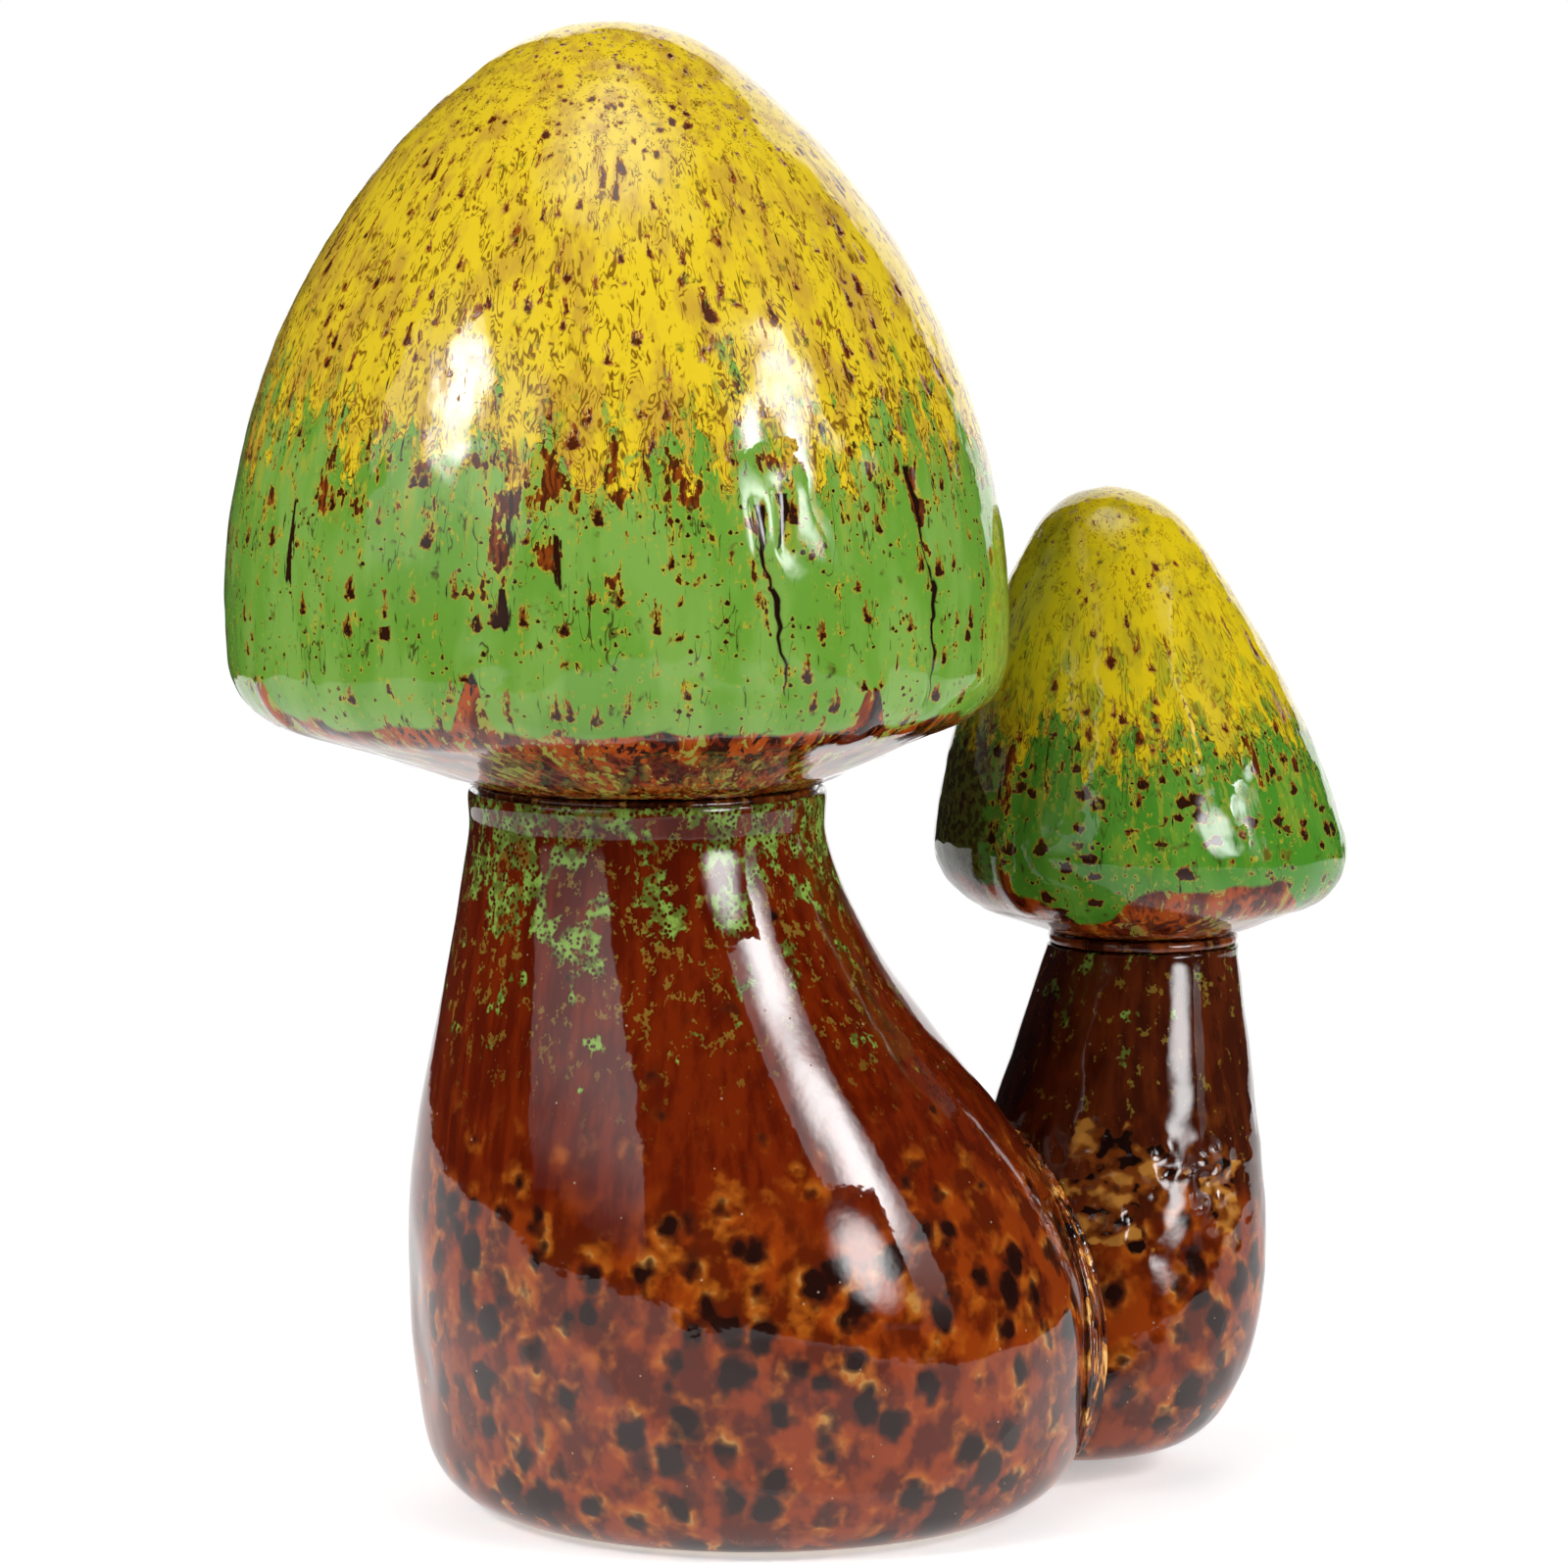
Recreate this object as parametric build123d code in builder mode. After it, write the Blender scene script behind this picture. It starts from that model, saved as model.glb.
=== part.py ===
"""Glazed ceramic ornament: a large and a small mushroom that are joined at the foot.

Each mushroom is two hollow slip castings. A spigot on the stem stands in a hole in the cap, and a
ring of slip bonds the two. A saddle of slip lutes the small stem to the side of the large one.
Millimetres, +Z up, +X towards the small mushroom, origin on the table under the middle.
"""

import os
from dataclasses import dataclass
from math import asin, atan2, cos, hypot, sin, sqrt, tan

from build123d import *

# Castings and the joints between them
caps_overlap = 1.4              # small cap in under the rim of the large one, seen from above
joint_depth = 13.8              # belly of the small stem, let into that of the large one
wall = 3.5                      # thickness of every casting
slip_thickness = 1.2            # slip between two castings
slip_recess = 0.5               # neck slip, back from the face of the neck
slip_bead = 1.0                 # slip pressed out round the joint of the stems
spigot_clearance = 0.3          # round a spigot in its cap
spigot_end = 1.0                # spigot, beyond the wall of its cap

# Large cap
large_cap_radius = 38.9         # at the rim
large_dome_height = 62.6        # crown above the rim
large_crown_radius = 20.0       # arc over the top
large_flank_radius = 69.0       # arc of the dome's side
large_rim_radius = 7.2          # arc of the rim
large_rim_height = 13.3         # rim above the seat on the neck
large_crown_lean = 0.8          # crown from the cap's middle, away from the small mushroom

# Large stem: round sections, each with its middle moved from the neck's towards the small mushroom
large_neck_radius = 17.6
large_neck_height = 72.9
large_neck_offset = 3.2         # neck from the cap's middle, towards the small mushroom
large_waist_radius = 22.4
large_waist_lean = 2.2
large_shoulder_radius = 30.8
large_shoulder_lean = 7.7
large_belly_radius = 34.8
large_belly_lean = 11.4
large_belly_height = 19.2
large_foot_radius = 30.5
large_foot_lean = 11.0
large_foot_rounding = 9.0
large_spigot_radius = 13.5
large_drain_radius = 7.0        # hole that drains the slip and lets air out in the kiln
foot_ring_width = 6.0           # unglazed ring that the ornament stands on
foot_recess_depth = 1.0         # floor above that ring

# Small cap
small_cap_radius = 21.6
small_dome_height = 37.2
small_crown_radius = 9.6
small_flank_radius = 96.0
small_rim_radius = 6.6
small_rim_height = 9.2
small_crown_lean = 3.8          # towards the large mushroom

# Small stem: its sections lean from the neck to the belly that is let into the large stem
small_neck_radius = 9.8
small_neck_height = 54.6
small_neck_offset = 0.4         # neck from the cap's middle, away from the large mushroom
small_waist_radius = 12.9
small_waist_share = 0.25        # of the way that the belly leans
small_shoulder_radius = 15.9
small_shoulder_share = 0.54
small_belly_radius = 17.6
small_belly_height = 14.0
small_foot_radius = 15.0
small_foot_offset = 5.1         # foot from the belly's middle, towards the large mushroom
small_foot_rounding = 10.5
small_foot_lift = 2.0           # the small foot hangs clear of the table
small_spigot_radius = 7.2
small_drain_radius = 2.5
small_drain_offset = 1.3        # hole from the belly's middle, clear of the joint of the stems

# Middles of the caps, necks and bellies along X
overall_length = 2 * (large_cap_radius + small_cap_radius) - caps_overlap
large_cap_x = large_cap_radius - overall_length / 2
large_neck_x = large_cap_x + large_neck_offset
large_belly_x = large_neck_x + large_belly_lean
small_cap_x = overall_length / 2 - small_cap_radius
small_neck_x = small_cap_x + small_neck_offset
small_belly_x = large_belly_x + large_belly_radius + small_belly_radius - joint_depth
small_belly_lean = small_neck_x - small_belly_x


@dataclass
class Cap:
    """Sizes of one cap and the place of its seat on the neck."""

    x: float
    radius: float
    dome_height: float
    crown_radius: float
    flank_radius: float
    rim_radius: float
    rim_height: float
    lean: float
    seat: Vector
    seat_radius: float
    spigot_radius: float


@dataclass
class Stem:
    """Sizes of one stem: its sections from foot to neck as (height, radius, middle)."""

    sections: list
    outward: Vector
    foot_rounding: float
    spigot_radius: float
    drain_radius: float
    drain_x: float


def spaced(low, high):
    """Heights of belly, shoulder, waist and neck, evenly spaced."""
    step = (high - low) / 3
    return low, low + step, low + 2 * step, high


large_cap_sizes = Cap(
    x=large_cap_x,
    radius=large_cap_radius,
    dome_height=large_dome_height,
    crown_radius=large_crown_radius,
    flank_radius=large_flank_radius,
    rim_radius=large_rim_radius,
    rim_height=large_rim_height,
    lean=-large_crown_lean,
    seat=Vector(large_neck_x, 0, large_neck_height + slip_thickness),
    seat_radius=large_neck_radius,
    spigot_radius=large_spigot_radius,
)
small_cap_sizes = Cap(
    x=small_cap_x,
    radius=small_cap_radius,
    dome_height=small_dome_height,
    crown_radius=small_crown_radius,
    flank_radius=small_flank_radius,
    rim_radius=small_rim_radius,
    rim_height=small_rim_height,
    lean=-small_crown_lean,
    seat=Vector(small_neck_x, 0, small_neck_height + slip_thickness),
    seat_radius=small_neck_radius,
    spigot_radius=small_spigot_radius,
)

belly, shoulder, waist, neck = spaced(large_belly_height, large_neck_height)
large_stem_sizes = Stem(
    sections=[
        (0.0, large_foot_radius, large_neck_x + large_foot_lean),
        (belly, large_belly_radius, large_belly_x),
        (shoulder, large_shoulder_radius, large_neck_x + large_shoulder_lean),
        (waist, large_waist_radius, large_neck_x + large_waist_lean),
        (neck, large_neck_radius, large_neck_x),
    ],
    outward=Vector(-1, 0, 0),
    foot_rounding=large_foot_rounding,
    spigot_radius=large_spigot_radius,
    drain_radius=large_drain_radius,
    drain_x=large_neck_x + large_foot_lean,
)

belly, shoulder, waist, neck = spaced(small_belly_height, small_neck_height)
small_stem_sizes = Stem(
    sections=[
        (small_foot_lift, small_foot_radius, small_belly_x - small_foot_offset),
        (belly, small_belly_radius, small_belly_x),
        (shoulder, small_shoulder_radius, small_neck_x - small_shoulder_share * small_belly_lean),
        (waist, small_waist_radius, small_neck_x - small_waist_share * small_belly_lean),
        (neck, small_neck_radius, small_neck_x),
    ],
    outward=Vector(1, 0, 0),
    foot_rounding=small_foot_rounding,
    spigot_radius=small_spigot_radius,
    drain_radius=small_drain_radius,
    drain_x=small_belly_x + small_drain_offset,
)


def cap_form(cap, inset):
    """Solid of a cap's outside, or of its hollow when the inset is the wall."""
    # Middles of the three arcs of the half outline, with heights from the rim
    rim = Vector(cap.radius - cap.rim_radius, 0)
    crown = Vector(0, cap.dome_height - cap.crown_radius)
    way = (crown - rim).normalized()
    span = (crown - rim).length
    flank_to_rim = cap.flank_radius - cap.rim_radius
    flank_to_crown = cap.flank_radius - cap.crown_radius
    along = (span**2 + flank_to_rim**2 - flank_to_crown**2) / (2 * span)
    across = sqrt(flank_to_rim**2 - along**2)
    flank = rim + way * along + way.rotate(Axis.Z, 90) * across

    # The skirt runs from the seat to touch the rim's arc
    reach = rim.X - cap.seat_radius
    slope = atan2(cap.rim_height, reach) - asin(cap.rim_radius / hypot(reach, cap.rim_height))

    top = Vector(0, cap.dome_height - inset)
    crown_end = crown + (crown - flank).normalized() * (cap.crown_radius - inset)
    rim_start = rim + (rim - flank).normalized() * (cap.rim_radius - inset)
    rim_end = rim + Vector(sin(slope), -cos(slope)) * (cap.rim_radius - inset)
    middle = Vector(0, rim_end.Y)

    with BuildPart() as dome:
        with BuildSketch(Plane.XZ):
            with BuildLine():
                crown_arc = TangentArc(top, crown_end, tangent=(1, 0))
                flank_arc = TangentArc(crown_end, rim_start, tangent=crown_arc % 1)
                TangentArc(rim_start, rim_end, tangent=flank_arc % 1)
                Polyline(rim_end, middle, top)
            make_face()
        revolve(axis=Axis.Z)

    # The dome leans: every height moves sideways in proportion to it
    rim_level = cap.seat.Z + cap.rim_height
    shift = cap.lean / cap.dome_height
    leaning = Matrix([[1, 0, shift, cap.x], [0, 1, 0, 0], [0, 0, 1, rim_level]])

    with BuildPart() as form:
        add(dome.part.transform_geometry(leaning))
        with BuildSketch(Plane((cap.x + shift * rim_end.Y, 0, rim_level + rim_end.Y))):
            Circle(rim_end.X)
        with BuildSketch(Plane(cap.seat + Vector(0, 0, inset))):
            Circle(cap.seat_radius - inset * tan(slope / 2))
        loft()
    return form.part


def stem_form(stem, growth):
    """Solid of a stem's outside, grown all round."""
    with BuildPart() as form:
        for height, radius, middle in stem.sections:
            with BuildSketch(Plane((middle, 0, height), x_dir=stem.outward)):
                Circle(radius + growth)
        loft()
        fillet(form.edges().group_by(Axis.Z)[0], stem.foot_rounding)
    return form.part


def stem_hollow(stem):
    """Solid of a stem's hollow, which leaves the wall at the floor, the side and the shoulder."""
    heights = [height for height, radius, middle in stem.sections]
    heights[0] += wall
    heights[-1] -= wall
    with BuildPart() as hollow:
        for height, (outer_height, radius, middle) in zip(heights, stem.sections):
            with BuildSketch(Plane((middle, 0, height), x_dir=stem.outward)):
                Circle(radius - wall)
        loft()
        rounding = max(stem.foot_rounding - wall, wall / 2)
        fillet(hollow.edges().group_by(Axis.Z)[0], rounding)
    return hollow.part


def stem_openings(stem):
    """Bore of the spigot and drain hole of a stem, as one solid."""
    foot_height = stem.sections[0][0]
    neck_height, neck_radius, neck_middle = stem.sections[-1]
    bore_radius = stem.spigot_radius - wall
    with BuildPart() as openings:
        with BuildSketch(Plane((neck_middle, 0, neck_height - 2 * wall))):
            Circle(bore_radius)
        extrude(amount=3 * wall + slip_thickness + spigot_end)
        with BuildSketch(Plane((stem.drain_x, 0, foot_height))):
            Circle(stem.drain_radius)
        extrude(amount=2 * wall)
    return openings.part


def cap_shell(cap):
    """Casting of a cap: hollow, with a hole for the spigot in its seat."""
    with BuildPart() as shell:
        add(cap_form(cap, 0))
        add(cap_form(cap, wall), mode=Mode.SUBTRACT)
        with BuildSketch(Plane(cap.seat)):
            Circle(cap.spigot_radius + spigot_clearance)
        extrude(amount=2 * wall, mode=Mode.SUBTRACT)
    return shell.part


def neck_slip(cap):
    """Ring of slip round the spigot, between the stem's shoulder and the cap's seat."""
    with BuildPart() as ring:
        with BuildSketch(Plane(cap.seat)):
            Circle(cap.seat_radius - slip_recess)
            Circle(cap.spigot_radius, mode=Mode.SUBTRACT)
        extrude(amount=-slip_thickness)
    return ring.part


def spigot(stem):
    """Tube on the stem's shoulder that reaches through the slip and the wall of the cap."""
    neck_height, neck_radius, neck_middle = stem.sections[-1]
    with BuildPart() as tube:
        with BuildSketch(Plane((neck_middle, 0, neck_height))):
            Circle(stem.spigot_radius)
        extrude(amount=slip_thickness + wall + spigot_end)
    return tube.part


with BuildPart() as large_stem:
    add(stem_form(large_stem_sizes, 0))
    add(spigot(large_stem_sizes))
    add(stem_hollow(large_stem_sizes), mode=Mode.SUBTRACT)
    add(stem_openings(large_stem_sizes), mode=Mode.SUBTRACT)
    with BuildSketch(Plane((large_neck_x + large_foot_lean, 0, 0))):
        Circle(large_foot_radius - large_foot_rounding - foot_ring_width)
    extrude(amount=foot_recess_depth, mode=Mode.SUBTRACT)

with BuildPart() as large_neck_slip:
    add(neck_slip(large_cap_sizes))

with BuildPart() as large_cap:
    add(cap_shell(large_cap_sizes))

with BuildPart() as small_hollow:
    add(stem_hollow(small_stem_sizes))
    add(stem_form(large_stem_sizes, slip_thickness + wall), mode=Mode.SUBTRACT)

with BuildPart() as small_stem:
    add(stem_form(small_stem_sizes, 0))
    add(stem_form(large_stem_sizes, slip_thickness), mode=Mode.SUBTRACT)
    add(spigot(small_stem_sizes))
    add(small_hollow.part, mode=Mode.SUBTRACT)
    add(stem_openings(small_stem_sizes), mode=Mode.SUBTRACT)

with BuildPart() as small_neck_slip:
    add(neck_slip(small_cap_sizes))

with BuildPart() as small_cap:
    add(cap_shell(small_cap_sizes))

with BuildPart() as stem_seam_slip:
    add(stem_form(small_stem_sizes, slip_bead))
    add(stem_form(large_stem_sizes, slip_thickness), mode=Mode.INTERSECT)
    add(stem_form(large_stem_sizes, 0), mode=Mode.SUBTRACT)

large_stem.part.label = "large_stem"
large_neck_slip.part.label = "large_neck_slip"
large_cap.part.label = "large_cap"
small_stem.part.label = "small_stem"
small_neck_slip.part.label = "small_neck_slip"
small_cap.part.label = "small_cap"
stem_seam_slip.part.label = "stem_seam_slip"

os.makedirs("parts", exist_ok=True)
export_step(large_stem.part, "parts/large_stem.step")
export_step(large_neck_slip.part, "parts/large_neck_slip.step")
export_step(large_cap.part, "parts/large_cap.step")
export_step(small_stem.part, "parts/small_stem.step")
export_step(small_neck_slip.part, "parts/small_neck_slip.step")
export_step(small_cap.part, "parts/small_cap.step")
export_step(stem_seam_slip.part, "parts/stem_seam_slip.step")
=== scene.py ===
import math

import bpy
import numpy as np
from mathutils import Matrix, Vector


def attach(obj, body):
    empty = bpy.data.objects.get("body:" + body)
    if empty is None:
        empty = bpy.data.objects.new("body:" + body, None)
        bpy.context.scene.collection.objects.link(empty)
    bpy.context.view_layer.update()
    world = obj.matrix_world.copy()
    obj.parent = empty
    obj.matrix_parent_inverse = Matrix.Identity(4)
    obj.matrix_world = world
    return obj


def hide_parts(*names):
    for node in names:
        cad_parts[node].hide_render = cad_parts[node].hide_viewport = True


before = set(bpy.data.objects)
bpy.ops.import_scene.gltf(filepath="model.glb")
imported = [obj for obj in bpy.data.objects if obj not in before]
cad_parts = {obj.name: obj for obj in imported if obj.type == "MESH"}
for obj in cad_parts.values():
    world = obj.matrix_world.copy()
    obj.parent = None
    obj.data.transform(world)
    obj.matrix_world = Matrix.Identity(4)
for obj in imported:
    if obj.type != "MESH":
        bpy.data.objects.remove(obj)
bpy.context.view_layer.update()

# Large stem: a hollow slip casting, pear-shaped, with a spigot at the neck and a drain hole in the
# floor. It is dipped in a red-brown glaze that breaks to a tortoiseshell mottle near the foot, and
# the green of the cap has run down on to its neck. The foot ring is wiped bare.
MM = 0.001
FACING = -115.0                 # degrees round Z, the side towards the viewer


def draw_rings(name, rings, segments, levels, closed):
    """Draws a form up ring by ring, each (height, radius, middle), and smooths it.

    A closed form joins its last ring to its first, and any other ends in a point at both ends."""
    bpy.ops.object.select_all(action="DESELECT")
    height, radius, middle = rings[0]
    bpy.ops.mesh.primitive_circle_add(
        vertices=segments, radius=radius * MM, location=(middle * MM, 0, height * MM)
    )
    piece = bpy.context.object
    piece.name = name
    bpy.ops.object.transform_apply()
    bpy.ops.object.mode_set(mode="EDIT")
    bpy.ops.mesh.select_mode(type="VERT")
    bpy.ops.mesh.select_all(action="SELECT")
    for (low, inner, start), (high, outer, end) in zip(rings, rings[1:]):
        bpy.ops.mesh.extrude_region_move(
            TRANSFORM_OT_translate={"value": ((end - start) * MM, 0, (high - low) * MM)}
        )
        bpy.ops.transform.resize(
            value=(outer / inner, outer / inner, 1), center_override=(end * MM, 0, high * MM)
        )
    if not closed:
        bpy.ops.mesh.merge(type="CENTER")
    bpy.ops.mesh.select_all(action="DESELECT")
    bpy.ops.object.mode_set(mode="OBJECT")
    count = len(piece.data.vertices)
    ends = set(range(segments))
    if closed:
        ends |= set(range(count - segments, count))
    for vertex in piece.data.vertices:
        vertex.select = vertex.index in ends
    bpy.ops.object.mode_set(mode="EDIT")
    if closed:
        bpy.ops.mesh.bridge_edge_loops()
    else:
        bpy.ops.mesh.merge(type="CENTER")
    bpy.ops.mesh.select_all(action="SELECT")
    bpy.ops.mesh.normals_make_consistent(inside=False)
    bpy.ops.object.mode_set(mode="OBJECT")
    smooth = piece.modifiers.new("smooth", "SUBSURF")
    smooth.levels = smooth.render_levels = levels
    bpy.ops.object.modifier_apply(modifier="smooth")
    bpy.ops.object.shade_smooth()
    return piece


def places_on(piece, rings):
    """Angle from the facing side in degrees, height and radius in mm of every vertex."""
    spots = np.empty(len(piece.data.vertices) * 3)
    piece.data.vertices.foreach_get("co", spots)
    x, y, z = spots.reshape(-1, 3).T / MM
    heights, _, middles = np.array(sorted(rings)).T
    x = x - np.interp(z, heights, middles)
    angle = np.degrees(np.arctan2(y, x)) - FACING
    return (angle + 180) % 360 - 180, z, np.hypot(x, y)


def stroke(places, path, width):
    """Share from 1 on a line of (angle, height) points to 0 well outside its width in mm."""
    angle, height, radius = places
    nearest = np.full(len(angle), 1e6)
    for (angle_0, height_0), (angle_1, height_1) in zip(path, path[1:]):
        across = radius * np.radians(angle - angle_0)
        along = height - height_0
        run = radius * math.radians(angle_1 - angle_0)
        rise = height_1 - height_0
        share = np.clip((across * run + along * rise) / (run**2 + rise**2), 0, 1)
        nearest = np.minimum(nearest, np.hypot(across - share * run, along - share * rise))
    return np.exp(-((nearest / width) ** 2))


def strokes(places, paths, width):
    return np.max([stroke(places, path, width) for path in paths], axis=0)


def mark(piece, name, shares):
    """Vertex group with a share for every vertex."""
    group = piece.vertex_groups.new(name=name)
    for index in np.flatnonzero(shares > 0.01):
        group.add([int(index)], float(shares[index]), "REPLACE")


def swell(piece, name, shares, height):
    """Raises the surface by the height in mm where the shares are 1, or sinks it if negative."""
    mark(piece, name, shares)
    lift = piece.modifiers.new(name, "DISPLACE")
    lift.vertex_group = name
    lift.mid_level = 0
    lift.strength = height * MM
    bpy.context.view_layer.objects.active = piece
    bpy.ops.object.modifier_apply(modifier=name)


def ripple(piece, name, size, height, shares):
    """Uneven surface with bumps of this size and height in mm, where the shares are 1."""
    mark(piece, name, shares)
    waves = bpy.data.textures.new(name, "CLOUDS")
    waves.noise_scale = size * MM
    lift = piece.modifiers.new(name, "DISPLACE")
    lift.texture = waves
    lift.texture_coords = "LOCAL"
    lift.strength = height * MM
    lift.vertex_group = name
    bpy.context.view_layer.objects.active = piece
    bpy.ops.object.modifier_apply(modifier=name)


def paint(piece, name, shares):
    """Keeps one share per vertex on the piece for its glaze to read."""
    kept = piece.data.attributes.new(name, "FLOAT", "POINT")
    kept.data.foreach_set("value", np.ascontiguousarray(shares, dtype=np.float32))


def srgb(red, green, blue):
    """Linear colour from the 0 to 255 values that the eye compares."""
    return tuple(((v / 255 + 0.055) / 1.055) ** 2.4 for v in (red, green, blue)) + (1.0,)


class Glaze:
    """Nodes of one fired glaze, with all places and sizes in mm."""

    def __init__(self, name):
        self.material = bpy.data.materials.new(name)
        self.material.use_nodes = True
        self.tree = self.material.node_tree
        self.shader = self.tree.nodes["Principled BSDF"]
        spot = self.tree.nodes.new("ShaderNodeTexCoord").outputs["Object"]
        self.place = self.vector("MULTIPLY", spot, (1 / MM,) * 3)
        self.height = self.split(self.place)[2]

    def plug(self, socket, value):
        if isinstance(value, bpy.types.NodeSocket):
            self.tree.links.new(value, socket)
        else:
            socket.default_value = value

    def math(self, operation, *values):
        node = self.tree.nodes.new("ShaderNodeMath")
        node.operation = operation
        for socket, value in zip(node.inputs, values):
            self.plug(socket, value)
        return node.outputs[0]

    def vector(self, operation, *values):
        node = self.tree.nodes.new("ShaderNodeVectorMath")
        node.operation = operation
        for socket, value in zip(node.inputs, values):
            self.plug(socket, value)
        return node.outputs["Vector"]

    def split(self, value):
        node = self.tree.nodes.new("ShaderNodeSeparateXYZ")
        self.plug(node.inputs[0], value)
        return node.outputs[0], node.outputs[1], node.outputs[2]

    def noise(self, place, size, detail=2.0, roughness=0.5, output="Fac"):
        node = self.tree.nodes.new("ShaderNodeTexNoise")
        self.plug(node.inputs["Vector"], place)
        node.inputs["Scale"].default_value = 1 / size
        node.inputs["Detail"].default_value = detail
        node.inputs["Roughness"].default_value = roughness
        return node.outputs[output]

    def cells(self, place, size):
        node = self.tree.nodes.new("ShaderNodeTexVoronoi")
        self.plug(node.inputs["Vector"], place)
        node.inputs["Scale"].default_value = 1 / size
        return node.outputs["Distance"], node.outputs["Color"], node.outputs["Position"]

    def total(self, *parts):
        """Sum of parts, each a value or a (value, factor) pair."""
        result = 0.0
        for part in parts:
            value, factor = part if isinstance(part, tuple) else (part, 1.0)
            result = self.math("MULTIPLY_ADD", value, factor, result)
        return result

    def step(self, value, low, high):
        """Smooth share: 0 at the low value, 1 at the high one."""
        node = self.tree.nodes.new("ShaderNodeMapRange")
        node.interpolation_type = "SMOOTHSTEP"
        self.plug(node.inputs["Value"], value)
        flip = low > high
        node.inputs["From Min"].default_value = high if flip else low
        node.inputs["From Max"].default_value = low if flip else high
        node.inputs["To Min"].default_value = 1.0 if flip else 0.0
        node.inputs["To Max"].default_value = 0.0 if flip else 1.0
        return node.outputs["Result"]

    def line(self, value, level, width):
        """Share of a thin line where the value passes the level."""
        away = self.math("ABSOLUTE", self.math("SUBTRACT", value, level))
        return self.step(away, width, width * 0.3)

    def both(self, *shares):
        product = shares[0]
        for share in shares[1:]:
            product = self.math("MULTIPLY", product, share)
        return product

    def coat(self, under, over, share):
        node = self.tree.nodes.new("ShaderNodeMix")
        node.data_type = "RGBA"
        self.plug(node.inputs[0], share)
        self.plug(node.inputs[6], under)
        self.plug(node.inputs[7], over)
        return node.outputs[2]

    def painted(self, name, output="Fac"):
        node = self.tree.nodes.new("ShaderNodeAttribute")
        node.attribute_name = name
        return node.outputs[output]

    def run(self, place, share):
        """The place with heights drawn together, so that a pattern on it is drawn out downwards."""
        return self.vector("MULTIPLY", place, (1, 1, share))

    def swirl(self, place, size, reach):
        """The place moved about by a noise of this size."""
        drift = self.vector("SUBTRACT", self.noise(place, size, output="Color"), (0.5,) * 3)
        return self.vector("ADD", place, self.vector("MULTIPLY", drift, (2 * reach,) * 3))

    def tears(self, place, spacing, width, tail, taper, fray):
        """Distance in mm outside tear-shaped specks, a random share for each, and how far up its tail.

        A speck is round below and drawn out upwards: a larger taper thins the tail, and a larger fray
        breaks it into strands."""
        drawn = self.run(place, spacing / (spacing + tail))
        _, colour, middle = self.cells(drawn, spacing)
        east, north, rise = self.split(self.vector("SUBTRACT", drawn, middle))
        rise = self.math("MULTIPLY", rise, (spacing + tail) / spacing)
        first, second, third = self.split(colour)
        wide = self.math("MULTIPLY_ADD", first, width, width * 0.4)
        long = self.math("MULTIPLY_ADD", second, tail, tail * 0.4)
        up = self.math("MAXIMUM", self.math("DIVIDE", rise, long), 0.0)
        tail_left = self.math("MAXIMUM", self.math("SUBTRACT", 1.0, up), 0.0)
        past_tail = self.math("MAXIMUM", self.math("SUBTRACT", up, 1.0), 0.0)
        shape = self.math("SUBTRACT", self.math("POWER", tail_left, taper), past_tail)
        drop = self.math("MINIMUM", rise, 0.0)
        flat = self.math("ADD", self.math("POWER", east, 2.0), self.math("POWER", north, 2.0))
        reach = self.math("SQRT", self.math("ADD", flat, self.math("POWER", drop, 2.0)))
        outside = self.math("SUBTRACT", reach, self.math("MULTIPLY", wide, shape))
        rough = self.math("SUBTRACT", self.noise(place, width, 2.0), 0.5)
        strands = self.math("SUBTRACT", self.noise(self.run(place, 0.1), 0.2, 2.0), 0.5)
        strands = self.math("MULTIPLY", strands, self.math("ADD", self.math("MINIMUM", up, 1.0), 0.2))
        return self.total(outside, (rough, 1.6 * width), (strands, fray)), third, up

    def fissure(self, flow, top, low, width):
        """Share on a thin dark line between two (angle, height) places, finer towards its lower end."""
        middle = math.radians((top[0] + low[0]) / 2)
        slant = math.radians(low[0] - top[0])
        east, north, _ = self.split(flow)
        facing = self.total((east, math.cos(middle)), (north, math.sin(middle)))
        across = self.total((east, -math.sin(middle)), (north, math.cos(middle)))
        down = self.math("DIVIDE", self.math("SUBTRACT", top[1], self.height), top[1] - low[1])
        sway = self.noise(self.vector("MULTIPLY", flow, (0, 0, 1)), 5.0, 2.0)
        bend = self.math("MULTIPLY", self.math("SUBTRACT", down, 0.5), facing)
        off = self.total(across, (bend, -slant), (sway, 3.0), -1.5)
        thin = self.math("MULTIPLY_ADD", down, -0.75 * width, width)
        outside = self.math("SUBTRACT", self.math("ABSOLUTE", off), thin)
        within = self.both(self.step(down, -0.02, 0.02), self.step(down, 1.02, 0.98))
        near_side = self.step(facing, 0.0, 1.0)
        return self.both(self.step(outside, 0.08, -0.08), within, near_side)

    def fire(self, colour, roughness, relief, depth):
        """Ends the glaze: colour, gloss, and fine relief of this depth in mm."""
        self.plug(self.shader.inputs["Base Color"], colour)
        self.plug(self.shader.inputs["Roughness"], roughness)
        self.shader.inputs["IOR"].default_value = 1.5
        bump = self.tree.nodes.new("ShaderNodeBump")
        bump.inputs["Distance"].default_value = depth * MM
        self.plug(bump.inputs["Height"], relief)
        self.tree.links.new(bump.outputs["Normal"], self.shader.inputs["Normal"])
        return self.material


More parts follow.
